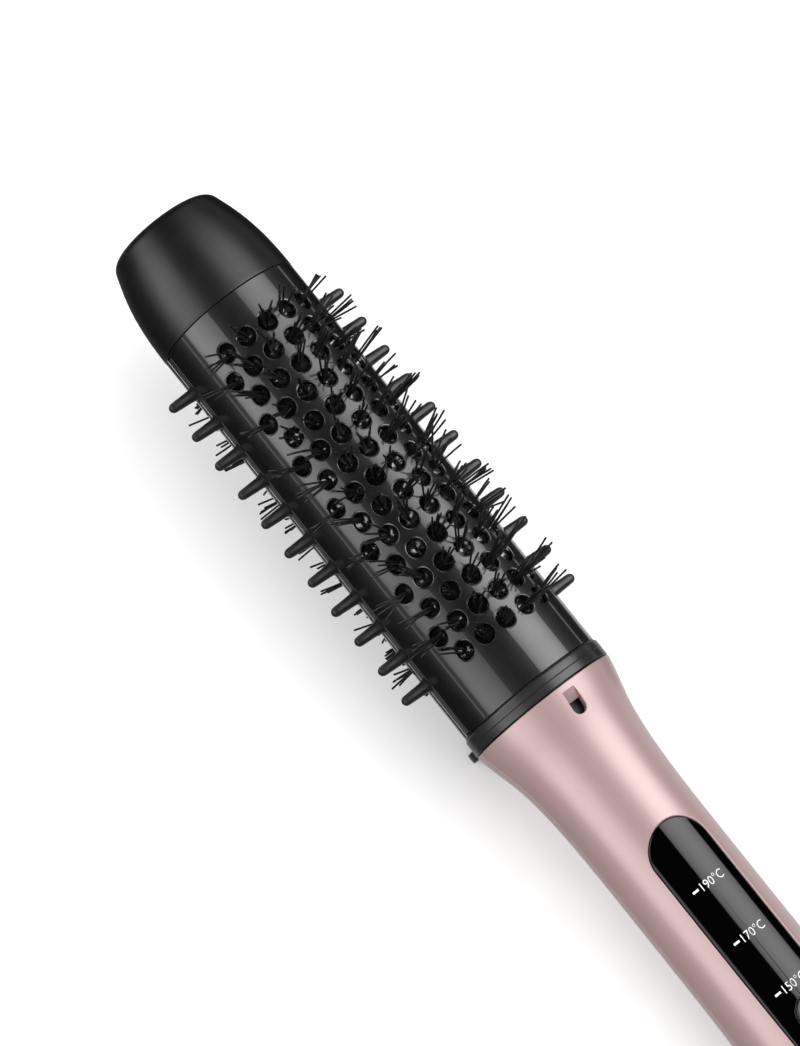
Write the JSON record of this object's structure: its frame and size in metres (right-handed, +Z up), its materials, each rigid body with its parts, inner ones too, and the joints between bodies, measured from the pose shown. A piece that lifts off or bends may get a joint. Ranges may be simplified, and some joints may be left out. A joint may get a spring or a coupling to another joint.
{
  "type": "hot air brush",
  "caption": "Heated round brush with a perforated barrel, nylon tufts, comb strips, cool tip, rest stand and a slim display handle with a blower.",
  "frame": {"origin": "mouth of the cord bore at the rear end of the handle", "axes": "+X along the brush axis to the cool tip, +Z up through the display window, +Y to the left"},
  "size_m": [0.3347, 0.0556, 0.0631],
  "materials": {
    "barrel_coating": "glossy black ceramic coating on aluminium",
    "comb_plastic": "satin black heat-proof plastic",
    "bristle_nylon": "black nylon filament",
    "heat_plastic": "black glass-filled plastic",
    "inner_aluminium": "as cast",
    "tip_plastic": "soft-touch black",
    "collar_plastic": "satin black with fine scratches",
    "pad_rubber": "heat-proof silicone",
    "steel": "plated",
    "rose_paint": "satin rose-gold metallic paint",
    "window_gloss": null,
    "button_plastic": "gloss black",
    "switch_plastic": "moulded",
    "board": "green solder mask",
    "led_lens": "clear",
    "component_black": "moulded",
    "capacitor_case": "yellow case",
    "fan_plastic": "natural nylon",
    "mica": "mica sheet",
    "heater_wire": "nickel-chrome wire",
    "brass_part": "plain",
    "wire_sleeve": "silicone sleeve",
    "screen_steel": "etched screen"
  },
  "bodies": {
    "housing": {"back_shell": "rose_paint", "barrel": "barrel_coating", "bristle_carrier_back": "heat_plastic", "bristle_carrier_front": "heat_plastic", "bristles_back": "bristle_nylon", "bristles_front": "bristle_nylon", "capacitor": "capacitor_case", "circuit_board": "board", "comb_strip_left": "comb_plastic", "comb_strip_right": "comb_plastic", "cool_tip": "tip_plastic", "display_window": "window_gloss", "fan_shroud": "component_black", "filter_screen": "screen_steel", "front_shell": "rose_paint", "handle_screws": "steel", "head_collar": "collar_plastic", "heater_bracket": "steel", "heater_leads": "wire_sleeve", "heating_coil": "heater_wire", "indicator_leds": "led_lens", "inner_frame": "inner_aluminium", "ion_generator": "component_black", "ion_needle": "steel", "ion_needle_holder": "component_black", "light_pipes": "led_lens", "mica_frame": "mica", "mica_sleeve": "mica", "motor_can": "steel", "motor_end_bell": "component_black", "power_switch": "switch_plastic", "rear_cover": "collar_plastic", "retainer_screws": "steel", "stand_pin": "steel", "supply_leads": "wire_sleeve", "swivel_retainer": "component_black", "temp_switch": "switch_plastic", "thermal_fuse": "brass_part", "thermostat": "steel", "tip_plug": "tip_plastic", "tip_screw": "steel", "triac": "component_black"},
    "rotor": {"motor_shaft": "steel", "fan_impeller": "fan_plastic"},
    "swivel": {"cord_swivel": "collar_plastic"},
    "power_button": {"power_button": "button_plastic", "power_switch_plunger": "switch_plastic"},
    "temp_button": {"temp_button": "button_plastic", "temp_switch_plunger": "switch_plastic"},
    "stand": {"rest_stand": "collar_plastic", "stand_pads": "pad_rubber"}
  },
  "joints": [
    {"name": "fan_spin", "type": "hinge", "parent": "housing", "child": "rotor", "pos_m": [0.045, 0, 0], "axis": [1, 0, 0], "continuous": true},
    {"name": "cord_swivel_turn", "type": "hinge", "parent": "housing", "child": "swivel", "pos_m": [0, 0, 0], "axis": [1, 0, 0], "continuous": true},
    {"name": "power_button_press", "type": "slide", "parent": "housing", "child": "power_button", "axis": [0, 0, -1], "range_m": [0, 0.0008], "stiffness_N_per_m": 300},
    {"name": "temp_button_press", "type": "slide", "parent": "housing", "child": "temp_button", "axis": [0, 0, -1], "range_m": [0, 0.0008], "stiffness_N_per_m": 300},
    {"name": "stand_fold", "type": "hinge", "parent": "housing", "child": "stand", "pos_m": [0.184, 0, -0.0227], "axis": [0, 1, 0], "range_deg": [0, 88]}
  ]
}
